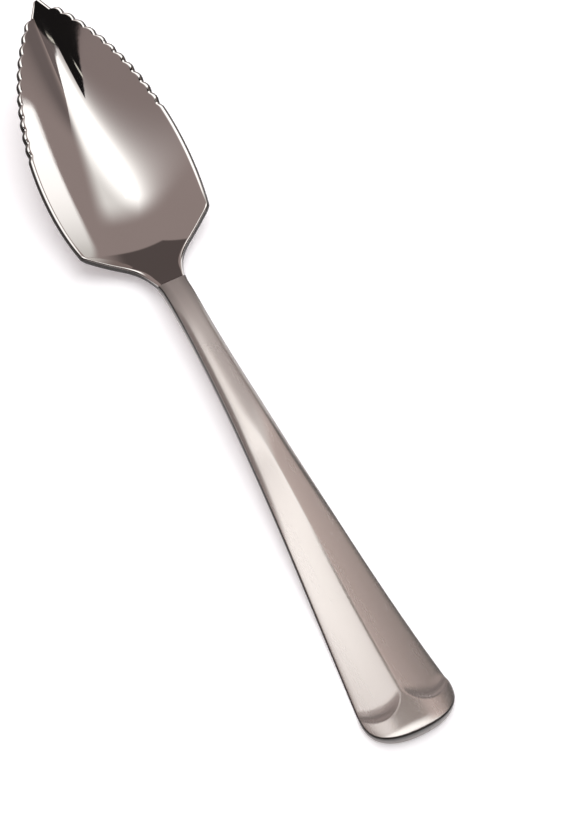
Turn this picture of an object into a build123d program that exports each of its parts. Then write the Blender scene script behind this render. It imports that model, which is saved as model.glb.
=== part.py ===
"""A grapefruit spoon: a polished dish with a toothed rim, carried by a satin handle with a ridged grip."""
import os
from math import atan, cos, hypot, radians, sin, sqrt, tan

from build123d import *

# Driving sizes, in millimetres and degrees
overall_length = 155.0
bowl_length = 58.5  # from the tip back to the neck line, where the polish stops
bowl_width = 28.6
tip_land = 3.0  # width of the blunt end that the tip tooth is cut from
neck_width = 5.1
grip_width = 17.0
handle_stock = 2.9  # handle thickness on its centre line
bowl_sheet = 1.2  # dish thickness
arch_height = 3.6  # clear height under the crest of the handle
tip_lift = 15.0  # clear height under the tip
rear_hollow_radius = 14.3  # cross curve of the dish's bottom behind its middle
tip_hollow_radius = 2.2  # cross curve of the dish's bottom at the tip
hollow_power = 2.2  # how late the dish tightens towards the tip
wall_slope = 0.85  # to which the dish's walls straighten out
keel_reach = 35.0  # length over which the bowl's bottom bends before it runs straight to the tip
shoulder_angle = 57.0  # of the rear edges of the bowl, from the long axis
neck_fillet = 10.5  # plan radius where the shoulders run into the neck

# Teeth
tooth_count = 12  # notches on each side
tooth_pitch = 2.5
notch_radius = 1.0
notch_depth = 0.4
tip_notch_depth = 0.8  # the first notch on each side is deeper and frees the tip tooth
tip_flank = 2.7  # from the blunt end to the first notch

# Handle top
crown_drop = 0.9  # fall from the centre line to the edges
crown_run = 12.0  # length over which the crown dies away at the neck
facet_angle = 14.5  # fall of each grip facet from the ridge to the edge
ridge_below_crown = 0.05
scoop_radius = 5.0  # of the round end of each facet
pad_slope = 0.08  # rise of the end pad towards the handle end
pad_roll_length = 3.2  # over which the pad rolls off at the handle end
pad_roll_radius = 5.5
end_length = 7.0  # length of the rounded corners of the handle end
foot_length = 9.0  # length of the level face under the handle end
end_roundness = 0.68  # 0.55 would be an ellipse, 1 a square end
taper_power = 1.5  # how the grip narrows towards the neck
heel_power = 1.2  # 1 would put the steepest part of the heel half way down

# Stations along the spoon, counted from the handle end
tip_at = overall_length
neck_at = overall_length - bowl_length
corner_at = neck_at + 0.18 * bowl_length
bottom_at = neck_at + 0.26 * bowl_length
widest_at = neck_at + 0.39 * bowl_length
hollow_at = neck_at + 0.11 * bowl_length
crest_at = 0.84 * neck_at
arch_at = 0.75 * neck_at
taper_at = 0.91 * neck_at
pad_at = 0.105 * neck_at
fade_at = 0.50 * neck_at
facet_end_at = 0.68 * neck_at

# Shared shapes
bowl_half = bowl_width / 2
neck_half = neck_width / 2
grip_half = grip_width / 2
tip_half = tip_land / 2
keel_scale = tip_lift / (hypot(tip_at - bottom_at, keel_reach) - keel_reach)
side_narrowing = bowl_half - tip_half
side_radius = ((tip_at - widest_at) ** 2 + side_narrowing**2) / (2 * side_narrowing)
overrun = 2.0  # how far the shaping tools run past the metal
tool_depth = arch_height + handle_stock + tip_lift


def along(station):
    """Y of a station: the middle of the spoon's length is at zero."""
    return station - overall_length / 2


def across(station):
    """Upright plane across the spoon at a station, with local x to the right and local y up."""
    return Plane(origin=(0, along(station), 0), x_dir=(1, 0, 0), z_dir=(0, -1, 0))


def ease(u):
    """Step from 0 to 1 that starts and ends level and straight."""
    u = min(max(u, 0), 1)
    return u**3 * (10 - 15 * u + 6 * u * u)


def heel_run(station):
    """0 at the front of the handle's crest, 1 at the lowest point of the bowl."""
    return min(max((station - crest_at) / (bottom_at - crest_at), 0), 1)


def fallen(station):
    """Share of the fall from the handle's height to the bowl's."""
    return ease(heel_run(station) ** heel_power)


def underside(station):
    """Height of the lower surface on the centre line."""
    arch = arch_height * ease((station - foot_length) / (arch_at - foot_length))
    keel = keel_scale * (hypot(station - bottom_at, keel_reach) - keel_reach)
    return arch * (1 - fallen(station)) + keel * heel_run(station) ** 3


def thickness(station):
    """Thickness of the metal on the centre line."""
    return handle_stock + (bowl_sheet - handle_stock) * fallen(station)


def topside(station):
    """Height of the upper surface on the centre line."""
    return underside(station) + thickness(station)


def hollow(station):
    """Cross curvature of the dish on the centre line: none at the neck line, tightest at the tip."""
    forward = max((station - hollow_at) / (tip_at - hollow_at), 0)
    rear = 1 / rear_hollow_radius
    tip = 1 / tip_hollow_radius
    return (rear + (tip - rear) * forward**hollow_power) * ease((station - neck_at) / (hollow_at - neck_at))


def dish(x, station):
    """Height of the dish's upper surface: round in the middle, with walls that straighten out."""
    curve = hollow(station)
    return topside(station) + curve * x * x / (1 + hypot(1, curve * x / wall_slope))


def wall_lean(x, station):
    """Angle of the dish's wall across the spoon."""
    curve = hollow(station)
    return atan(curve * x / hypot(1, curve * x / wall_slope))


def wall_point(x, station, depth):
    """Point of a section of the bowl, at a depth below the upper surface and square to it."""
    lean = wall_lean(x, station)
    return x + depth * sin(lean), dish(x, station) - depth * cos(lean)


def side_half(station):
    """Half width of the bowl ahead of its corners, where each side is one arc."""
    return bowl_half - side_radius + sqrt(side_radius**2 - (station - widest_at) ** 2)


# Where the shoulder's straight edge runs into the neck fillet, and where the fillet starts
lean_back = radians(shoulder_angle)
fillet_end_half = neck_half + neck_fillet * (1 - cos(lean_back))
fillet_end_at = corner_at - (side_half(corner_at) - fillet_end_half) / tan(lean_back)
fillet_at = fillet_end_at - neck_fillet * sin(lean_back)


def half_width(station):
    """Half width of the spoon in plan, without the rounding of the handle end."""
    if station >= corner_at:
        return side_half(station)
    if station >= fillet_end_at:
        return side_half(corner_at) - (corner_at - station) * tan(lean_back)
    if station >= fillet_at:
        return neck_half + neck_fillet - sqrt(neck_fillet**2 - (station - fillet_at) ** 2)
    reach = max((taper_at - station) / (taper_at - end_length), 0)
    return neck_half + (grip_half - neck_half) * min(reach, 1) ** taper_power


def inner_half(station):
    """Half width of the dish's upper surface: the rim is square to the wall, so it ends inside the outline."""
    return half_width(station) - thickness(station) * sin(wall_lean(half_width(station), station))


def spread(start, end, steps):
    """Evenly spaced values, both ends included."""
    return [start + (end - start) * i / steps for i in range(steps + 1)]


def crown_top(station):
    """Height of the handle's crown on the centre line, with the end pad rising and then rolling off."""
    rise = pad_slope * max(pad_at - station, 0)
    roll = max(pad_roll_length - station, 0) ** 2 / (2 * pad_roll_radius)
    return topside(max(station, 0)) + rise - roll


def facet_lift(station):
    """How far the grip facets are raised: level along the grip, running out at both ends."""
    if station < pad_at:
        return (pad_at - station) ** 2 / (2 * scoop_radius)
    return 2 * crown_drop * max(station - fade_at, 0) / (facet_end_at - fade_at)


# Bowl: a front lofted from the corners to the tip and a heel lofted from the neck line to the corners
with BuildPart() as bowl:
    for span in (spread(corner_at, tip_at, 10), spread(neck_at, corner_at, 8)):
        for station in span:
            half = inner_half(station)
            upper = [wall_point(x, station, 0) for x in spread(-half, half, 8)]
            lower = [wall_point(x, station, thickness(station)) for x in spread(-half, half, 8)]
            with BuildSketch(across(station)):
                with BuildLine():
                    Spline(*upper)
                    Line(upper[-1], lower[-1])
                    Spline(*lower[::-1])
                    Line(lower[0], upper[0])
                make_face()
        loft()
    # Teeth: round notches ground square to the wall, stepped along each rim from the tip
    for side in (-1, 1):
        rim_points = []
        for station in spread(tip_at, corner_at, 16):
            x, z = wall_point(inner_half(station), station, thickness(station) / 2)
            rim_points.append((side * x, along(station), z))
        rim_line = Spline(*rim_points, mode=Mode.PRIVATE)
        for step in range(tooth_count):
            depth = notch_depth if step else tip_notch_depth
            distance = tip_flank + step * tooth_pitch
            on_rim = rim_line.position_at(distance, position_mode=PositionMode.LENGTH)
            tangent = rim_line.tangent_at(distance, position_mode=PositionMode.LENGTH)
            lean = wall_lean(abs(on_rim.X), on_rim.Y + overall_length / 2)
            wall = Vector(-side * sin(lean), 0, cos(lean))
            outward = tangent.cross(wall).normalized() * -side
            with Locations(Plane(on_rim + outward * (notch_radius - depth), z_dir=wall)):
                Cylinder(notch_radius, 4 * bowl_sheet, mode=Mode.SUBTRACT)
bowl.part.label = "bowl"

# Handle: the plan outline, cut to the arched underside, the crowned top and the two sloping facets
with BuildPart() as handle:
    with BuildSketch(Plane.XY):
        with BuildLine():
            square = end_roundness * end_length
            flare = square * (half_width(end_length) - half_width(end_length + 1))
            Bezier(
                (0, along(0)),
                (end_roundness * grip_half, along(0)),
                (grip_half + flare, along(end_length - square)),
                (grip_half, along(end_length)),
            )
            Spline(*[(half_width(s), along(s)) for s in spread(end_length, taper_at, 8)])
            Spline(*[(half_width(s), along(s)) for s in spread(taper_at, neck_at, 6)])
            Line((half_width(neck_at), along(neck_at)), (0, along(neck_at)))
            mirror(about=Plane.YZ)
        make_face()
    extrude(amount=tool_depth)
    with BuildSketch(Plane.YZ):
        with BuildLine():
            arch = [(along(s), underside(s)) for s in spread(foot_length, neck_at + overrun, 16)]
            front = along(neck_at + overrun)
            rear = along(-overrun)
            Spline(*arch, tangents=[(1, 0), (arch[-1][0] - arch[-2][0], arch[-1][1] - arch[-2][1])])
            Polyline(arch[-1], (front, tool_depth), (rear, tool_depth), (rear, 0), arch[0])
        make_face()
    extrude(amount=grip_width, both=True, mode=Mode.INTERSECT)
    for station in spread(-overrun, pad_at, 8) + spread(pad_at, neck_at + overrun, 12)[1:]:
        half = half_width(min(station, neck_at))
        reach = half + overrun
        drop = crown_drop * ease((neck_at - station) / crown_run)
        top = crown_top(station)
        edge = top - drop * (reach / half) ** 2
        with BuildSketch(across(station)):
            with BuildLine():
                Bezier((-reach, edge), (0, 2 * top - edge), (reach, edge))
                Polyline((reach, edge), (reach, -tool_depth), (-reach, -tool_depth), (-reach, edge))
            make_face()
    loft(mode=Mode.INTERSECT)
    for span in (spread(pad_at - scoop_radius, pad_at, 4), spread(pad_at, facet_end_at, 8)):
        for station in span:
            reach = half_width(station) + overrun
            ridge = crown_top(station) - ridge_below_crown + facet_lift(station)
            edge = ridge - reach * tan(radians(facet_angle))
            with BuildSketch(across(station)):
                with BuildLine():
                    Polyline((-reach, edge), (0, ridge), (reach, edge))
                    Polyline((reach, edge), (reach, tool_depth), (-reach, tool_depth), (-reach, edge))
                make_face()
        loft(mode=Mode.SUBTRACT)
handle.part.label = "handle"

os.makedirs("parts", exist_ok=True)
export_step(bowl.part, "parts/bowl.step")
export_step(handle.part, "parts/handle.step")
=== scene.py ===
# %% [markdown]
# # A grapefruit spoon
# The real spoon is one stamped strip of stainless steel: a pointed bowl with a toothed rim, polished like a
# mirror, and an arched handle with a satin finish. This lesson builds both pieces in mesh code around a
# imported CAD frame, gives them their finishes in shader nodes, and lights them in a small studio. The frame
# comes first. It fixes where everything is, so nothing has to be fitted by eye later.

import bmesh
import bpy
import numpy as np
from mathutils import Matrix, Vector


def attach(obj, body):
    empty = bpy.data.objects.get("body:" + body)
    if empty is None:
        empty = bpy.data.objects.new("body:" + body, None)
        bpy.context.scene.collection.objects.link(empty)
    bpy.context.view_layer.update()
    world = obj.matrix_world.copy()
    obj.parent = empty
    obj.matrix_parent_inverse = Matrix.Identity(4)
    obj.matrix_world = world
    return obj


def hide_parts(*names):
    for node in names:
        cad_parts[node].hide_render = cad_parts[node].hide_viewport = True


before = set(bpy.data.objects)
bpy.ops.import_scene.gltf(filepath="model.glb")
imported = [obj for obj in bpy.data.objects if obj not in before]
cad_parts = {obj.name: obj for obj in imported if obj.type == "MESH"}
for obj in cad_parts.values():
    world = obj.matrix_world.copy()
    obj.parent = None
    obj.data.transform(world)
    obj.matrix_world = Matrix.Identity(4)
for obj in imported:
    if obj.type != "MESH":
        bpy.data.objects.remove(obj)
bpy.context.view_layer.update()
print("nodes in the frame:", sorted(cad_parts))

# %% [markdown]
# ## Sizes
# A spoon is easiest to think about along its length. A station is a distance in millimetres from the handle
# end, so the handle end is station 0, the neck line, where the polish stops, is at 96.5 and the tip is at
# 155. All shapes below are formulas of a station and a distance x from the middle line. They could be
# splines drawn by hand, but formulas can be sampled as finely as a mirror needs. The bowl is drawn a little
# wider than it measures, because rounding its rim takes that off again.

# %% Driving sizes, in millimetres
overall_length = 155.0
bowl_length = 58.5
bowl_width = 28.95
tip_width = 3.0
neck_width = 5.1
grip_width = 17.0
handle_stock = 2.9
bowl_sheet = 1.2
arch_height = 3.6
tip_lift = 15.0
rear_hollow_radius = 14.3
tip_hollow_radius = 2.2
hollow_power = 2.2
wall_slope = 0.85
keel_reach = 35.0
foot_length = 9.0
neck_fillet = 10.5
shoulder_angle = np.radians(57)
tip_at = overall_length
neck_at = overall_length - bowl_length
corner_at = neck_at + 0.18 * bowl_length
bottom_at = neck_at + 0.26 * bowl_length
widest_at = neck_at + 0.39 * bowl_length
hollow_at = neck_at + 0.11 * bowl_length
crest_at = 0.84 * neck_at
arch_at = 0.75 * neck_at
heel_power = 1.2
print("neck line at", neck_at, "bowl corners at", round(corner_at, 2), "lowest point at", round(bottom_at, 2))

# %% [markdown]
# ## The bend along the strip
# Seen from the side the strip lies on the table at the handle end, rises in an arch, drops over the heel
# into the bowl and sweeps up to the tip. The ease function is a step from 0 to 1 that starts and ends
# level, with no kink in its curvature. A mirror shows every kink, so the arch and the heel are made from it
# and not from arcs.

# %% Side profile
def ease(u):
    u = np.clip(u, 0, 1)
    return u**3 * (10 - 15 * u + 6 * u * u)


def heel_run(station):
    """0 up to the front of the handle's crest, 1 from the lowest point of the bowl."""
    return np.clip((station - crest_at) / (bottom_at - crest_at), 0, 1)


def fallen(station):
    return ease(heel_run(station) ** heel_power)


keel_scale = tip_lift / (np.hypot(tip_at - bottom_at, keel_reach) - keel_reach)


def underside(station):
    arch = arch_height * ease((station - foot_length) / (arch_at - foot_length))
    keel = np.hypot(station - bottom_at, keel_reach) - keel_reach
    return arch * (1 - fallen(station)) + keel_scale * keel * heel_run(station) ** 3


def thickness(station):
    return handle_stock + (bowl_sheet - handle_stock) * fallen(station)


def topside(station):
    return underside(station) + thickness(station)


print("top of the crest:", round(float(topside(crest_at)), 2), "mm")
print("top of the tip:", round(float(topside(tip_at)), 2), "mm")

# %% [markdown]
# ## The hollow of the bowl
# Across the strip the bowl is a hyperbola: round in the middle, with walls that straighten out. It is flat
# at the neck line, opens quickly to a hollow of 14 mm radius and closes up to a gouge at the tip. One
# formula for the height at (x, station) gives the whole dish, and the steel's own thickness is measured
# square to it.

# %% Dish
def hollow(station):
    """Curvature across the spoon, on the middle line."""
    forward = np.maximum((station - hollow_at) / (tip_at - hollow_at), 0)
    rear = 1 / rear_hollow_radius
    tip = 1 / tip_hollow_radius
    return (rear + (tip - rear) * forward**hollow_power) * ease((station - neck_at) / (hollow_at - neck_at))


def wall_height(x, station):
    bend = hollow(station) * x
    return bend * x / (1 + np.hypot(1, bend / wall_slope))


def wall_lean(x, station):
    bend = hollow(station) * x
    return np.arctan(bend / np.hypot(1, bend / wall_slope))


def dish(x, station):
    return topside(station) + wall_height(x, station)


def through(x, station, depth):
    """The shift that carries a point of the dish into the steel, square to the wall."""
    lean = wall_lean(x, station)
    return np.stack([depth * np.sin(lean), np.zeros_like(lean), -depth * np.cos(lean)], -1)


print("depth of the dish at its widest:", round(float(wall_height(bowl_width / 2, widest_at)), 2), "mm")

# %% [markdown]
# ## The outline
# Seen from above, each side of the bowl is one long arc from the tip to a corner. A straight shoulder runs
# back from the corner and a fillet leads it into the neck. The corner is eased with a smooth minimum: near
# the place where two curves cross, it takes a little less than the lower one, which rounds the corner as a
# file would.

# %% Outline of the bowl and the neck
bowl_half = bowl_width / 2
neck_half = neck_width / 2
grip_half = grip_width / 2
narrowing = bowl_half - tip_width / 2
side_radius = ((tip_at - widest_at) ** 2 + narrowing**2) / (2 * narrowing)
corner_ease = 0.8


def smooth_min(a, b, width):
    near = np.clip(1 - np.abs(a - b) / width, 0, 1)
    return np.minimum(a, b) - near * near * width / 4


def side_half(station):
    return bowl_half - side_radius + np.sqrt(side_radius**2 - (station - widest_at) ** 2)


fillet_end_half = neck_half + neck_fillet * (1 - np.cos(shoulder_angle))
fillet_end_at = corner_at - (side_half(corner_at) - fillet_end_half) / np.tan(shoulder_angle)
fillet_at = fillet_end_at - neck_fillet * np.sin(shoulder_angle)


def neck_outline(station):
    """Half width from the neck up the fillet and along the straight shoulder."""
    rise = np.clip(station - fillet_at, 0, fillet_end_at - fillet_at)
    fillet = neck_half + neck_fillet - np.sqrt(neck_fillet**2 - rise**2)
    return fillet + np.maximum(station - fillet_end_at, 0) * np.tan(shoulder_angle)


def bowl_outline(station):
    return smooth_min(side_half(station), neck_outline(station), corner_ease)


def rim_half(station):
    """Half width of the upper face: the edge is square to the wall, so its upper corner lies further in."""
    lean = wall_lean(bowl_outline(station), station)
    return bowl_outline(station) - thickness(station) * np.sin(lean)


print("half width at the corners:", round(float(bowl_outline(corner_at)), 2), "mm")

# %% [markdown]
# ## One way to make a skin
# Each piece is built from half sections: a row of points that starts on the middle line of the upper face,
# runs out to the edge, turns round it and comes back below to the middle line. Rows joined by quads make
# the right half and the left half, and welding closes the seam. Lofted surfaces would give the same form,
# but a plain grid keeps the number of points along a curve under control.

# %% Skin from half sections
weld_distance = 1e-6
crease_angle = np.radians(40)
metres = 0.001


def skin(name, right, left, capped_rows, ground_and_shade):
    """A closed piece from half sections. The last argument says how much painted shade darkens each point,
    and on the bowl's edge how far its ground finish reaches, in one section or in all.
    """
    rows, points = right.shape[:2]
    grid = np.arange(rows * points).reshape(rows, points)
    sides = [grid[:-1, :-1], grid[:-1, 1:], grid[1:, 1:], grid[1:, :-1]]
    faces = [np.stack(sides, -1).reshape(-1, 4)]
    upper = np.arange(points // 2 - 1)
    for row in capped_rows:
        ring = grid[row]
        below = points - 1 - upper
        faces.append(np.stack([ring[upper], ring[upper + 1], ring[below - 1], ring[below]], -1))
    faces = np.concatenate(faces)
    corners = np.concatenate([right.reshape(-1, 3), left.reshape(-1, 3)]) * metres
    mesh = bpy.data.meshes.new(name)
    mesh.from_pydata(corners, [], np.concatenate([faces, faces + rows * points]).tolist())
    on_both = np.tile(np.broadcast_to(ground_and_shade, (rows, points)).ravel(), 2)
    # The number is kept on each point for the finishes: painted shade, and on the bowl's edge also its ground
    # finish.
    mesh.attributes.new("ground_edge_and_shade", "FLOAT", "POINT").data.foreach_set("value", on_both)
    work = bmesh.new()
    work.from_mesh(mesh)
    bmesh.ops.remove_doubles(work, verts=work.verts, dist=weld_distance)
    bmesh.ops.recalc_face_normals(work, faces=work.faces)
    work.to_mesh(mesh)
    work.free()
    mesh.shade_smooth()
    mesh.set_sharp_from_angle(angle=crease_angle)
    piece = bpy.data.objects.new(name, mesh)
    bpy.context.scene.collection.objects.link(piece)
    print(name, "has", len(mesh.vertices), "points and", len(mesh.polygons), "faces")
    return piece


def place(x, station, height):
    """Stations run from the handle end; the frame's y is zero at half the length."""
    return np.stack([x, station - overall_length / 2, height], -1)


print("points nearer than", weld_distance / metres, "mm to each other are welded")

# %% [markdown]
# ## The teeth
# On the real spoon the front of the rim is ground into about a dozen small teeth a side, with round crests
# and sharper valleys, and one larger blunt tooth at the tip with straight flanks. They could be cut with
# booleans, but those leave ragged meshes. Here the rim itself is a wave: each point of it is drawn inwards
# by a depth that depends only on its distance along the rim from the tip.

# %% Rim with teeth
tooth_count = 12
tooth_pitch = 2.5
tooth_depth = 0.38
tip_flank = 2.7
tip_valley_depth = 0.8
tip_land = 1.2
valley_round = 0.15


def tooth_wave(distance):
    """How far the rim is drawn in, at a distance along it from the tip tooth."""
    turn = np.pi * (distance - tip_flank) / tooth_pitch
    crest = np.sqrt(np.sin(turn) ** 2 + valley_round**2)
    full = np.sqrt(1 + valley_round**2)
    first = np.clip(1 - (distance - tip_flank) / tooth_pitch, 0, 1)
    depth = tooth_depth + (tip_valley_depth - tooth_depth) * first
    toothed = distance < tip_flank + (tooth_count - 0.5) * tooth_pitch
    return depth * (full - crest) / (full - valley_round) * toothed


row_step = 0.15
fine_steps = 4000
heel_rows = 90
fine_at = np.linspace(tip_at, corner_at, fine_steps)
fine_rim = place(rim_half(fine_at), fine_at, dish(rim_half(fine_at), fine_at))
fine_distance = np.append(0, np.cumsum(np.linalg.norm(np.diff(fine_rim, axis=0), axis=1)))
front_rows = int(fine_distance[-1] / row_step)
front_at = np.interp(np.linspace(fine_distance[-1], 0, front_rows), fine_distance, fine_at)
heel_at = np.linspace(neck_at, corner_at, heel_rows)
bowl_at = np.concatenate([heel_at[:-1], front_at])
from_tip = np.where(bowl_at < corner_at, fine_distance[-1], np.interp(-bowl_at, -fine_at, fine_distance))

plain_rim = np.stack([rim_half(bowl_at), bowl_at], -1)
rim_slope = np.gradient(rim_half(bowl_at), bowl_at)
inwards = np.stack([-np.ones_like(rim_slope), rim_slope], -1) / np.hypot(1, rim_slope)[:, None]
in_plan = np.cos(wall_lean(rim_half(bowl_at), bowl_at))
toothed_rim = plain_rim + inwards * (tooth_wave(from_tip) * in_plan)[:, None]
tip_corner = np.array([tip_land / 2, tip_at])
first_valley = np.array([np.interp(-tip_flank, -from_tip, toothed_rim[:, i]) for i in (0, 1)])
flank_share = (from_tip / tip_flank)[:, None]
straight_flank = tip_corner + (first_valley - tip_corner) * flank_share
toothed_rim = np.where(flank_share < 1, straight_flank, toothed_rim)
print("rim length on one side:", round(float(fine_distance[-1]), 1), "mm in", front_rows, "rows")

# %% [markdown]
# ## The bowl
# Each row crosses the dish from the middle line to the rim. The wave of the teeth is faded out towards the
# middle, so the mirror behind the teeth stays clean. The edge is a narrow band, square to the wall, with
# both its corners broken by a round, as a polishing wheel leaves them, and the round is widest beside the
# heel. The band itself is ground and not polished, so it is rougher. Each point carries a number that the
# finish reads later: it makes the band rougher and paints shade on it, so the outer half of the upper
# corner and all of the lower corner are painted dark. The tip of the real spoon stands a little to the
# right of the middle line, and so does this one.

# %% Bowl piece
tip_offset = 1.0
offset_from = tip_at - 30.0


def off_centre(station):
    """The teeth were ground by hand: the tip ended up a little to the right of the middle line."""
    return tip_offset * np.clip((station - offset_from) / (tip_at - offset_from), 0, 1) ** 2


across_points = 44
corner_turns = np.radians([15, 30, 45, 60, 75, 90])
ground_and_shade_from = np.radians(45)
ground_and_shade_blend = np.radians(30)
rim_round = 0.45
heel_round = 0.95
fade_width = 1.5
steepest_fade = 8
edge_round = rim_round + (heel_round - rim_round) * ease((corner_at - bowl_at) / (corner_at - neck_at))
rim_reach = np.linalg.norm(toothed_rim - np.stack([np.zeros_like(bowl_at), bowl_at], -1), axis=1)
last_share = 1 - edge_round / rim_reach
share = np.sin(np.linspace(0, np.pi / 2, across_points))[None, :] * last_share[:, None]
share = np.append(share, np.ones((len(bowl_at), 1)), axis=1)
fade_power = np.clip(plain_rim[:, :1] / fade_width, 1, steepest_fade)
plan_x = share * plain_rim[:, :1] + (toothed_rim - plain_rim)[:, :1] * share**fade_power
plan_at = plain_rim[:, 1:] + (toothed_rim - plain_rim)[:, 1:] * share**fade_power
bend_in = (1 - np.sin(corner_turns))[None, :, None]
bend_down = (1 - np.cos(corner_turns))[None, :, None]


def bowl_half_sections(side):
    """Sections of the right half for side 1 and of the left half for side -1."""
    x = side * plan_x + off_centre(plan_at)
    upper_face = place(x, plan_at, dish(x, plan_at))
    lower_face = upper_face + through(x, plan_at, thickness(plan_at))
    upper_rim = upper_face[:, -1:]
    lower_rim = lower_face[:, -1:]
    to_middle = upper_face[:, -2:-1] - upper_rim
    into_steel = through(x[:, -1:], plan_at[:, -1:], 1.0) * edge_round[:, None, None]
    upper_corner = upper_rim + to_middle * bend_in + into_steel * bend_down
    lower_corner = lower_rim + to_middle * bend_in - into_steel * bend_down
    back_below = [lower_corner[:, ::-1], lower_face[:, -2::-1]]
    return np.concatenate([upper_face[:, :-1], upper_corner, *back_below], axis=1)


# Painted shade on the edge band: from 45 degrees of its turn the upper corner goes dark, and the lower corner
# is dark all round.
turn_ground_and_shade = ease((corner_turns - ground_and_shade_from) / ground_and_shade_blend)
plain_side = np.zeros(across_points)
bowl_ground_and_shade = np.concatenate([plain_side, turn_ground_and_shade, np.ones_like(turn_ground_and_shade), plain_side])
bowl = skin("bowl_polished", bowl_half_sections(1), bowl_half_sections(-1), (0, -1), bowl_ground_and_shade)

# %% [markdown]
# ## The top of the handle
# The shank has a softly crowned top. The grip is pressed into a roof: two long facets fall from a ridge on
# the middle line, each with a round lower end, where a raised end pad begins. Each of these is a formula,
# and the top is the lowest of them, just as a press that sinks two facets into a crowned bar would leave
# it.

# %% Heights of the handle's top
end_length = 7.0
taper_at = 0.91 * neck_at
taper_power = 1.5
crown_run = 12.0
pad_crown_radius = 20.0
shank_crown_radius = 11.5
ridge_slope = np.tan(np.radians(14.5))
facet_bulge_radius = 110.0
ridge_below_crown = 0.05
sharp_ridge = 0.12
soft_ridge = 1.2
pad_at = 7.9
pad_slope = 0.07
pad_roll_length = 2.1
pad_roll_radius = 5.5
scoop_radius = 6.0
scoop_plan_radius = 6.0
scoop_middle = 3.7
fade_at = 0.56 * neck_at
facet_end_at = 0.80 * neck_at
shank_from = 0.42 * neck_at
shank_at = 0.66 * neck_at
crease_widths = (0.15, 0.1, 0.9)
fade_lift = 1.2


def grip_outline(station):
    reach = np.clip((taper_at - station) / (taper_at - end_length), 0, 1)
    return neck_outline(station) + (grip_half - neck_half) * reach**taper_power


def crown(x, station):
    raised = pad_slope * np.maximum(pad_at - station, 0)
    rolled = np.maximum(pad_roll_length - station, 0) ** 2 / (2 * pad_roll_radius)
    curve = np.interp(station, (pad_at, shank_from), (1 / pad_crown_radius, 1 / shank_crown_radius))
    return topside(station) + raised - rolled - curve * x * x / 2 * ease((neck_at - station) / crown_run)


def facets(x, station):
    faded = ease((station - fade_at) / (facet_end_at - fade_at))
    blunt = sharp_ridge + (soft_ridge - sharp_ridge) * faded
    out = np.sqrt(x * x + blunt**2) - blunt
    scoop_end = pad_at + (out - scoop_middle) ** 2 / (2 * scoop_plan_radius)
    scooped = np.maximum(scoop_end - station, 0) ** 2 / (2 * scoop_radius)
    fall = ridge_slope * out + out**2 / (2 * facet_bulge_radius)
    return topside(station) - ridge_below_crown + scooped + fade_lift * faded - fall


def handle_top(x, station):
    crease_width = np.interp(station, (pad_at, fade_at, facet_end_at), crease_widths)
    return smooth_min(crown(x, station), facets(x, station), crease_width)


print("thickness where the pad starts:", round(float(handle_top(0, pad_at) - underside(pad_at)), 2), "mm")

# %% [markdown]
# ## The handle
# Rows straight across would all pinch together at the rounded end, so here each row is a spoke. It starts
# on the middle line and ends on the outline. Along the shank the spokes are square to the middle line, and
# near the end they fan out, with their starting points kept apart so that no pole forms.

# %% Spokes of the handle
end_roundness = 0.68
spine_start = 5.0
spine_blend = 14.0
end_rows = 110
fan_rows = 60
shank_rows = 320

square = end_roundness * end_length
flare = square * (grip_outline(end_length) - grip_outline(end_length + 1))
turn = np.linspace(0, 1, end_rows)[:, None]
end_points = np.array([
    (0, 0),
    (end_roundness * grip_half, 0),
    (grip_half + flare, end_length - square),
    (grip_half, end_length),
])
end_weights = np.hstack([(1 - turn) ** 3, 3 * turn * (1 - turn) ** 2, 3 * turn**2 * (1 - turn), turn**3])
fan_at = np.linspace(end_length, spine_blend, fan_rows)[1:]
straight_at = np.linspace(spine_blend, neck_at, shank_rows)[1:]
side_at = np.concatenate([fan_at, straight_at])
edge = np.concatenate([end_weights @ end_points, np.stack([grip_outline(side_at), side_at], -1)])
kept_apart = spine_start * np.maximum(1 - edge[:, 1] / spine_blend, 0) ** 2
spine = np.stack([np.zeros(len(edge)), edge[:, 1] + kept_apart], -1)
along_edge = np.gradient(edge, axis=0)
outwards = np.stack([along_edge[:, 1], -along_edge[:, 0]], -1) / np.linalg.norm(along_edge, axis=1)[:, None]
square_reach = np.sum((edge - spine) * outwards, axis=1)[:, None]


def spoke_points(from_edge):
    """Plan position on each spoke at a distance inside the outline."""
    share = (1 - from_edge / square_reach)[..., None]
    plan = spine[:, None] + (edge - spine)[:, None] * share
    return plan[..., 0], plan[..., 1]


print("each side of the handle has", len(edge), "spokes")

# %% [markdown]
# ## Round the handle
# Along each spoke the skin runs out over the top, round the upper corner, round the lower corner and back
# below. The top of the shank rolls off towards its sides, which a belt has rounded. Painted shade darkens
# the upper corner all along the handle, the side of the lower corner a little, and on the shank the top
# towards each side. It is the same number that darkens the bowl's edge band.

# %% Handle piece
corner_radius = 0.3
edge_roll_reach = 1.1
corner_shade_from = np.radians(5)
low_corner_shade_level = 0.25
shank_side_shade = 0.45
shank_shade_reach = 1.7
grip_roll_depth = 0.06
shank_roll_depth = 0.55
handle_across = 44
crowding = 1.25


def upper_height(from_edge):
    x, station = spoke_points(from_edge)
    depth = np.interp(station, (shank_from, shank_at), (grip_roll_depth, shank_roll_depth))
    roll = np.clip(1 - from_edge / edge_roll_reach, 0, 1) ** 2
    return handle_top(x, station) - depth * roll * ease((neck_at - station) / crown_run)


def handle_rows(from_edge, height):
    x, station = spoke_points(from_edge)
    return place(x, station, height(x, station))


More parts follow.
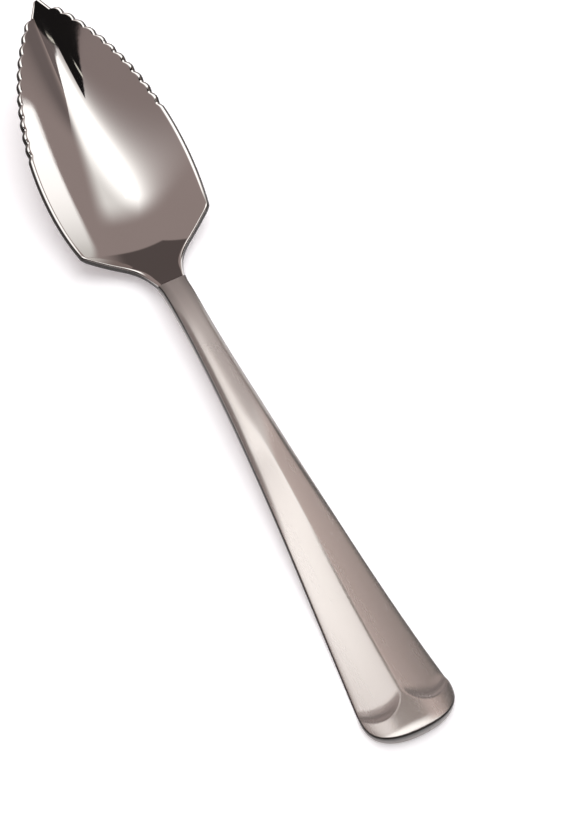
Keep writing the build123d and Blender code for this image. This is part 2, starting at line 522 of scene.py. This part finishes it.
towards_edge = np.linspace(0, 1, handle_across)[None, :]
inner = square_reach - (square_reach - corner_radius) * towards_edge**crowding
corner_inset = np.tile(corner_radius * (1 - np.sin(corner_turns)), (len(edge), 1))
corner_fall = corner_radius * (1 - np.cos(corner_turns))[None, :]
top_rows = handle_rows(inner, lambda x, station: upper_height(inner))
top_corner = handle_rows(corner_inset, lambda x, station: upper_height(corner_inset) - corner_fall)
low_corner = handle_rows(corner_inset, lambda x, station: underside(station) + corner_fall)
low_rows = handle_rows(inner, lambda x, station: underside(station))
handle_sections = np.concatenate([top_rows, top_corner, low_corner[:, ::-1], low_rows[:, ::-1]], axis=1)
on_shank = ease((edge[:, 1:] - shank_from) / (shank_at - shank_from))
# Painted shade: on the shank the top darkens over its last 1.7 mm before each side, and the corners are
# painted dark.
painted_side_shade = shank_side_shade * on_shank * np.clip(1 - inner / shank_shade_reach, 0, 1)
plain_side = np.zeros_like(painted_side_shade)
painted_corner_shade = np.maximum(ease((corner_turns - corner_shade_from) / ground_and_shade_blend), shank_side_shade * on_shank)
low_corner_painted_shade = np.tile(low_corner_shade_level * turn_ground_and_shade[::-1], (len(edge), 1))
handle_painted_shade = np.concatenate([painted_side_shade, painted_corner_shade, low_corner_painted_shade, plain_side], axis=1)
handle = skin("handle_satin", handle_sections, handle_sections * (-1, 1, 1), (-1,), handle_painted_shade)

# %% [markdown]
# ## Sums in shader nodes
# Node trees are hard to read as code. This small class wraps one output socket, so that a sum on it adds
# the Math nodes by itself and a finish reads as a formula. Every other kind of node comes from one method.

# %% Signal class
class Signal:
    """One output socket of a node tree."""

    def __init__(self, tree, socket=None):
        self.tree = tree
        self.socket = socket

    def node(self, kind, settings=None, inputs=None, output=0):
        made = self.tree.nodes.new(kind)
        for name, value in (settings or {}).items():
            setattr(made, name, value)
        for name, value in (inputs or {}).items():
            if isinstance(value, Signal):
                self.tree.links.new(value.socket, made.inputs[name])
            else:
                made.inputs[name].default_value = value
        return Signal(self.tree, made.outputs[output])

    def math(self, operation, *values):
        return self.node("ShaderNodeMath", {"operation": operation}, dict(enumerate(values)))

    def __add__(self, other):
        return self.math("ADD", self, other)

    def __sub__(self, other):
        return self.math("SUBTRACT", self, other)

    def __rsub__(self, other):
        return self.math("SUBTRACT", other, self)

    def __mul__(self, other):
        return self.math("MULTIPLY", self, other)

    def __truediv__(self, other):
        return self.math("DIVIDE", self, other)

    def __pow__(self, other):
        return self.math("POWER", self, other)

    __radd__ = __add__
    __rmul__ = __mul__

    def clamp(self):
        return self.node("ShaderNodeClamp", None, {"Value": self})

    def step(self, start, end):
        """A soft step: 0 at start, 1 at end, whichever is the larger."""
        settings = {"interpolation_type": "SMOOTHSTEP"}
        return self.node("ShaderNodeMapRange", settings, {"Value": self, "From Min": start, "From Max": end})

    def mix(self, low, high):
        """Colour that goes from low to high as this signal goes from 0 to 1."""
        settings = {"data_type": "RGBA"}
        return self.node("ShaderNodeMix", settings, {"Factor": self, 6: low, 7: high}, output=2)


def shade(name):
    """A new material with its shader, and a signal to start sums from."""
    material = bpy.data.materials.new(name)
    material.use_nodes = True
    tree = material.node_tree
    return material, tree.nodes["Principled BSDF"], Signal(tree)


def stretched_noise(start, stretch, scale, detail):
    """Noise on the piece's own coordinates, drawn out along the spoon where stretch is small."""
    place_on_piece = start.node("ShaderNodeTexCoord", output="Object")
    drawn = start.node("ShaderNodeVectorMath", {"operation": "MULTIPLY"}, {0: place_on_piece, 1: stretch})
    return start.node("ShaderNodeTexNoise", None, {"Vector": drawn, "Scale": scale, "Detail": detail})


print("shader sums ready")

# %% [markdown]
# ## Mirror polish
# The bowl is buffed until it mirrors the room, but never quite evenly: a wheel leaves faint lines along the
# spoon, and handling leaves a thin haze. Noise drawn out along the spoon drives a very small bump and a
# little roughness. The colour is that of stainless steel, a grey with a touch of warmth.

# %% Polished steel
mirror_roughness = 0.015
haze_roughness = 0.03
ground_roughness = 0.25
line_depth = 0.00002
clear_steel = (0.65, 0.625, 0.61, 1)
hazy_steel = (0.69, 0.665, 0.65, 1)
# The nearly black grey is painted shade for the edge band; its ground finish shows only as the extra
# roughness.
ground_and_shade_steel = (0.055, 0.052, 0.05, 1)
polish, polish_shader, start = shade("polished_steel")
buffing = stretched_noise(start, stretch=(1.0, 0.08, 1.0), scale=2600.0, detail=3.0)
haze = stretched_noise(start, stretch=(1.0, 1.0, 1.0), scale=90.0, detail=4.0)
line_settings = {"Strength": 0.04, "Distance": line_depth, "Height": buffing}
polish_lines = start.node("ShaderNodeBump", None, line_settings)
# Where the number is high the colour is painted shade and the steel is rougher.
ground_and_shade = start.node("ShaderNodeAttribute", {"attribute_name": "ground_edge_and_shade"}, output="Fac")
steel = ground_and_shade.mix(haze.mix(clear_steel, hazy_steel), ground_and_shade_steel)
blur = mirror_roughness + haze_roughness * haze + ground_roughness * ground_and_shade
start.tree.links.new(steel.socket, polish_shader.inputs["Base Color"])
start.tree.links.new(blur.socket, polish_shader.inputs["Roughness"])
start.tree.links.new(polish_lines.socket, polish_shader.inputs["Normal"])
polish_shader.inputs["Metallic"].default_value = 1.0
print("polished steel: roughness", mirror_roughness, "to", mirror_roughness + haze_roughness)

# %% [markdown]
# ## Satin finish
# The handle is brushed along its length with a fine belt. Up close that is a bed of short scratches, which
# blur every reflection. Most of the blur is plain roughness; a stretched noise adds the scratches as bump
# and lets the roughness vary a little from streak to streak. The shank is duller near the neck, so the
# roughness rises there. A metal value just under 1 leaves a trace of plain grey, for the light that the
# scratches scatter.

# %% Satin steel
satin_roughness = 0.22
streak_roughness = 0.06
scratch_roughness = 0.03
neck_roughness = 0.16
duller_from = 0.0
duller_to = 0.018
dark_streak = (0.60, 0.56, 0.54, 1)
light_streak = (0.63, 0.59, 0.57, 1)
# The nearly black grey is painted shade for the handle's corners and the sides of the shank.
painted_shade_steel = (0.03, 0.027, 0.025, 1)
satin, satin_shader, start = shade("satin_steel")
scratches = stretched_noise(start, stretch=(1.0, 0.03, 1.0), scale=9000.0, detail=2.0)
streaks = stretched_noise(start, stretch=(1.0, 0.12, 1.0), scale=420.0, detail=3.0)
grain_settings = {"Strength": 0.03, "Distance": line_depth, "Height": scratches}
grain = start.node("ShaderNodeBump", None, grain_settings)
# The same number paints that shade here; it changes no roughness.
ground_and_shade = start.node("ShaderNodeAttribute", {"attribute_name": "ground_edge_and_shade"}, output="Fac")
steel = ground_and_shade.mix(streaks.mix(dark_streak, light_streak), painted_shade_steel)
along = start.node("ShaderNodeTexCoord", output="Object")
near_neck = start.node("ShaderNodeSeparateXYZ", None, {0: along}, output="Y").step(duller_from, duller_to)
brushed = satin_roughness + streak_roughness * streaks + scratch_roughness * scratches
blur = brushed + neck_roughness * near_neck
start.tree.links.new(steel.socket, satin_shader.inputs["Base Color"])
start.tree.links.new(blur.socket, satin_shader.inputs["Roughness"])
start.tree.links.new(grain.socket, satin_shader.inputs["Normal"])
satin_shader.inputs["Metallic"].default_value = 0.9
print("satin steel: roughness about", round(satin_roughness + (streak_roughness + scratch_roughness) / 2, 2))

# %% [markdown]
# ## Pieces on their body
# A spoon has no joints, so both pieces ride on the one body, root. Each stands for the CAD node of the same
# form, which stays in the frame, hidden, for collisions, and gets its finish as its material.

# %% Ride, replace and give the finish
dressed = (
    (bowl, "bowl", polish, "polished_steel"),
    (handle, "handle", satin, "satin_steel"),
)
for piece, node, finish, slot in dressed:
    piece.data.materials.append(finish)
    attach(piece, "root")
    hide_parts(node)
    print(piece.name, "stands for", node)

# %% [markdown]
# ## Floor
# The spoon lies on a plain white table. Lamps bright enough to burn the table out would burn the steel too,
# so the table adds a little light of its own, which only the camera and reflections see. The shadow stays,
# because the larger share of the table's white is still light that the spoon can block.

# %% White table
floor_half = 4.0
glow_strength = 0.2
floor_mesh = bpy.data.meshes.new("table")
floor_corners = [(x * floor_half, y * floor_half, 0) for x, y in ((-1, -1), (1, -1), (1, 1), (-1, 1))]
floor_mesh.from_pydata(floor_corners, [], [(0, 1, 2, 3)])
floor = bpy.data.objects.new("table", floor_mesh)
bpy.context.scene.collection.objects.link(floor)
table_white, table_shader, start = shade("table_white")
seen = start.node("ShaderNodeLightPath", output="Is Camera Ray")
mirrored = start.node("ShaderNodeLightPath", output="Is Glossy Ray")
refracted = start.node("ShaderNodeLightPath", output="Is Transmission Ray")
table_shader.inputs["Base Color"].default_value = (0.9, 0.9, 0.92, 1)
table_shader.inputs["Roughness"].default_value = 0.9
table_shader.inputs["Specular IOR Level"].default_value = 0.0
table_shader.inputs["Emission Color"].default_value = (1, 0.95, 0.98, 1)
table_glow = glow_strength * (seen + mirrored + refracted)
start.tree.links.new(table_glow.socket, table_shader.inputs["Emission Strength"])
floor_mesh.materials.append(table_white)
print("table is", 2 * floor_half, "m square")

# %% [markdown]
# ## Soft lamp
# A large soft lamp hangs high, a little to the north east. It gives the table its white and throws a faint
# shadow to the lower left. The steel would mirror the lamp as a bright disk, so mirror rays pass it by.

# %% Lamp
lamp_light = bpy.data.lights.new("soft_lamp", "AREA")
lamp_light.shape = "DISK"
lamp_light.size = 1.1
lamp_light.energy = 6.2
lamp = bpy.data.objects.new("soft_lamp", lamp_light)
lamp.location = (0.25, 0.22, 0.85)
lamp.rotation_mode = "QUATERNION"
lamp.rotation_quaternion = (-lamp.location).to_track_quat("-Z", "Y")
lamp.visible_glossy = False
bpy.context.scene.collection.objects.link(lamp)
print("lamp is", round(lamp.location.length, 2), "m away")

# %% [markdown]
# ## Studio
# A mirror is mostly a picture of the room, so the room matters as much as the steel. It is painted on the
# world as a chart in degrees away from straight up: east is x, north is y, and the camera is in the south.
# Lamps and cards could do the same, but a painted sky is smooth and free of noise. In each step below, the
# two numbers are the degrees where a soft edge starts and ends.

# %% Chart of the sky
tiny = 1e-9
world = bpy.data.worlds.new("studio")
world.use_nodes = True
bpy.context.scene.world = world
sky = Signal(world.node_tree)
direction = sky.node("ShaderNodeTexCoord", output="Generated")
parts = sky.node("ShaderNodeSeparateXYZ", None, {0: direction})
away_x, away_y, height = (Signal(sky.tree, parts.socket.node.outputs[axis]) for axis in "XYZ")
from_zenith = sky.math("ARCCOSINE", height) * (180 / np.pi)
level = sky.math("SQRT", away_x * away_x + away_y * away_y + tiny)
east = from_zenith * away_x / level
north = from_zenith * away_y / level


def at_least(signal, least):
    return sky.math("MAXIMUM", signal, least)


print("the chart runs from 0 degrees overhead to 90 degrees at the level of the table")

# %% [markdown]
# ## The dark of the room
# Behind the camera, in the south, the room is dark, and the tip of the bowl mirrors it. Its upper edge is
# an arc, and in the west a ledge that is nearly level. It ends before the far south and the far west, so
# the bowl doesn't turn black in other views. Two thin rails catch some light along it, and the sky just
# above it is dim.

# %% Dark of the room
arc_north = -23.2
arc_bend = 0.0026
arc_middle = 4
arc_west = -28.0
ledge_north = -14.2
ledge_rise = 0.047
ledge_east = -29
rail_below_arc = 0.5
short_rail_east = -44.8
south_arc = arc_north + arc_bend * (at_least(east, arc_west) - arc_middle) ** 2
ledge = ledge_north + ledge_rise * (east - ledge_east)
below_arc = (north - south_arc).step(0.2, -0.2)
below_ledge = (north - ledge).step(0.12, -0.12) * east.step(-28, -29.5)
dark_reach = north.step(-44, -36) * east.step(-74, -66)
black_south = at_least(below_arc, below_ledge) * dark_reach
dim_corner = north.step(-1, -8) * east.step(-28, -20)
low_line = sky.math("ABSOLUTE", north - south_arc + rail_below_arc).step(0.3, 0.1)
low_rail = low_line * east.step(-26, -22) * east.step(0, -10)
short_line = sky.math("ABSOLUTE", east - short_rail_east).step(1.2, 0.4)
short_rail = short_line * (north - ledge).step(-1.6, -1.1) * (north - ledge).step(0.2, 0.0)
rail = at_least(low_rail, short_rail)
print("the dark starts", -arc_north, "degrees south of straight up")

# %% [markdown]
# ## Light box, curtain and board
# Overhead hangs one large light box with a hot middle, which makes the streak in the bowl. It fades out to
# the west. Far in the north hangs a dark curtain, which the heel of the bowl mirrors, and low in the east
# stands a white board, which the left wall of the bowl mirrors as a light strip.

# %% Light box, curtain and board
box_west = -62
box_bend = 0.042
box_fade = 37
box_south = -21.6
box_south_bend = 0.005
box_south_middle = -4
hot_east = 0.47
hot_north = 0.88
curtain_north = 50.5
curtain_rise = 0.6
curtain_bend_from = -6
board_east = 77.2
board_lean = -0.75
board_bend = 0.0087
board_soft_from = 8
board_softness = 0.06
box_left = box_bend * north * north + box_west
box_side = ((east - box_left) / box_fade).clamp() ** 2 * east.step(58, 36)
box_low = box_south + box_south_bend * at_least(east - box_south_middle, 0.0) ** 2
box = box_side * north.step(28, 15) * (north - box_low).step(-0.3, 0.3)
hot_middle = (hot_east * east + hot_north * north).step(27, 3)
curtain_edge = curtain_north + curtain_rise * at_least(curtain_bend_from - east, 0.0)
curtain = (north - curtain_edge).step(-1, 1) * north.step(69, 65) * east.step(62, 42)
board_edge = board_east + board_lean * north + board_bend * north * north
board_blur = 1 + board_softness * at_least(north - board_soft_from, 0.0)
board = ((east - board_edge) / board_blur).step(-0.7, 0.7) * north.step(-1.8, -1.0)
print("the light box reaches", -box_west, "degrees to the west and the curtain starts at", curtain_north)

# %% [markdown]
# ## Colours of the sky
# Now each part is laid over the one before: walls, curtain, light box, the dark of the room, board and
# rails. The walls are a warm grey, because the steel mirrors little else. Rays from the camera itself see
# plain white.

# %% Colours of the sky
wall_grey = (0.37, 0.30, 0.285, 1)
west_grey = (0.315, 0.255, 0.245, 1)
corner_grey = (0.19, 0.155, 0.15, 1)
curtain_grey = (0.115, 0.092, 0.088, 1)
room_black = (0.012, 0.011, 0.011, 1)
rail_light = (0.9, 0.88, 0.78, 1)
box_plain = (1.02, 1.0, 0.97, 1)
box_hot = (1.95, 1.95, 1.92, 1)
board_far = (0.75, 0.73, 0.7, 1)
board_near = (1.7, 1.68, 1.66, 1)
white = (1, 1, 1, 1)
west_dusk = north.step(12, -8) * east.step(-20, -40)
walls = dim_corner.mix(west_dusk.mix(wall_grey, west_grey), corner_grey)
with_curtain = curtain.mix(walls, curtain_grey)
with_box = box.mix(with_curtain, hot_middle.mix(box_plain, box_hot))
with_black = black_south.mix(with_box, room_black)
with_board = board.mix(with_black, north.step(50, -5).mix(board_far, board_near))
painted = rail.mix(with_board, rail_light)
camera_sees = sky.node("ShaderNodeLightPath", output="Is Camera Ray")
shown = camera_sees.mix(painted, white)
sky.tree.links.new(shown.socket, sky.tree.nodes["Background"].inputs["Color"])
print("studio sky painted with", len(sky.tree.nodes), "nodes")

# %% [markdown]
# ## Flags and cards
# Photographers hang dark cards, called flags, and white cards beside shiny things. They hang close to the
# spoon, so the handle and the bowl see them in different places. The flag hangs to the right. The right
# facet of the grip looks straight at it and turns dark, darker still towards its outer edge, because the
# flag is darker below. From the bowl the flag lies in the dim corner of the sky and hardly shows. The end
# flag hangs low over the end pad. The left card lights the left facet, and the north card lights the crest
# of the shank. Only mirror rays meet them, so they throw no shadow on the table.

# %% Flags and cards
dark_below = 0.062
light_above = 0.094


def hang(name, corners, light, fade_from, fade_to, low_light=None):
    """A glowing card that fades out from fade_from to fade_to along y and may have another light low down."""
    mesh = bpy.data.meshes.new(name)
    mesh.from_pydata(corners, [], [(0, 1, 2, 3)])
    card = bpy.data.objects.new(name, mesh)
    bpy.context.scene.collection.objects.link(card)
    finish, shader, start = shade(name)
    place_on_card = start.node("ShaderNodeTexCoord", output="Object")
    along_y = start.node("ShaderNodeSeparateXYZ", None, {0: place_on_card}, output="Y")
    mirrored = start.node("ShaderNodeLightPath", output="Is Glossy Ray")
    start.tree.links.new((mirrored * along_y.step(fade_to, fade_from)).socket, shader.inputs["Alpha"])
    shader.inputs["Base Color"].default_value = (0, 0, 0, 1)
    shader.inputs["Specular IOR Level"].default_value = 0.0
    shader.inputs["Emission Color"].default_value = light
    shader.inputs["Emission Strength"].default_value = 1.0
    if low_light:
        above = start.node("ShaderNodeSeparateXYZ", None, {0: place_on_card}, output="Z")
        glow = above.step(dark_below, light_above).mix(low_light, light)
        start.tree.links.new(glow.socket, shader.inputs["Emission Color"])
    mesh.materials.append(finish)
    print(name, "hangs", round(corners[0][2] / metres), "mm above the table")


flag_corners = [(0.066, 0.05, 0.097), (0.14, 0.05, 0.01), (0.14, -0.09, 0.01), (0.048, -0.09, 0.118)]
hang("flag", flag_corners, (0.78, 0.63, 0.58, 1), 0.015, 0.050, low_light=(0.05, 0.042, 0.038, 1))
end_corners = [(-0.014, -0.058, 0.06), (0.028, -0.058, 0.06), (0.028, -0.03, 0.06), (-0.014, -0.03, 0.06)]
hang("end_flag", end_corners, (0.24, 0.19, 0.165, 1), 0.010, 0.020)
left_north = [(-0.012, -0.002, 0.126), (-0.066, 0.004, 0.112)]
left_south = [(-0.07, -0.04, 0.112), (-0.014, -0.046, 0.126)]
hang("left_card", left_north + left_south, (1.92, 1.89, 1.85, 1), -0.008, -0.030)
north_corners = [(-0.026, 0.03, 0.14), (0.012, 0.03, 0.14), (0.012, 0.078, 0.14), (-0.026, 0.078, 0.14)]
hang("north_card", north_corners, (1.68, 1.64, 1.60, 1), 0.080, 0.090)

# %% [markdown]
# ## Camera
# The camera stands south and a little west of the spoon, looks down at about 62 degrees and has a long
# lens, so the outline shows little perspective. Colours are shown without a film look, which keeps them as
# they are written.

# %% Camera
camera_distance = 0.600
camera_elevation = np.radians(62.48)
camera_heading = np.radians(26.89)
aim = Vector((0.00727, -0.01154, 0))
ahead = Vector((np.sin(camera_heading), np.cos(camera_heading), 0))
backwards = Vector((0, 0, 1)) * np.sin(camera_elevation) - ahead * np.cos(camera_elevation)
lens = bpy.data.cameras.new("camera")
lens.lens = 147.81
lens.clip_start = 0.01
camera = bpy.data.objects.new("camera", lens)
camera.location = aim + backwards * camera_distance
camera.rotation_mode = "QUATERNION"
camera.rotation_quaternion = (-backwards).to_track_quat("-Z", "Y")
bpy.context.scene.collection.objects.link(camera)
bpy.context.scene.camera = camera
bpy.context.scene.view_settings.view_transform = "Standard"
print("camera at", [round(v, 3) for v in camera.location])
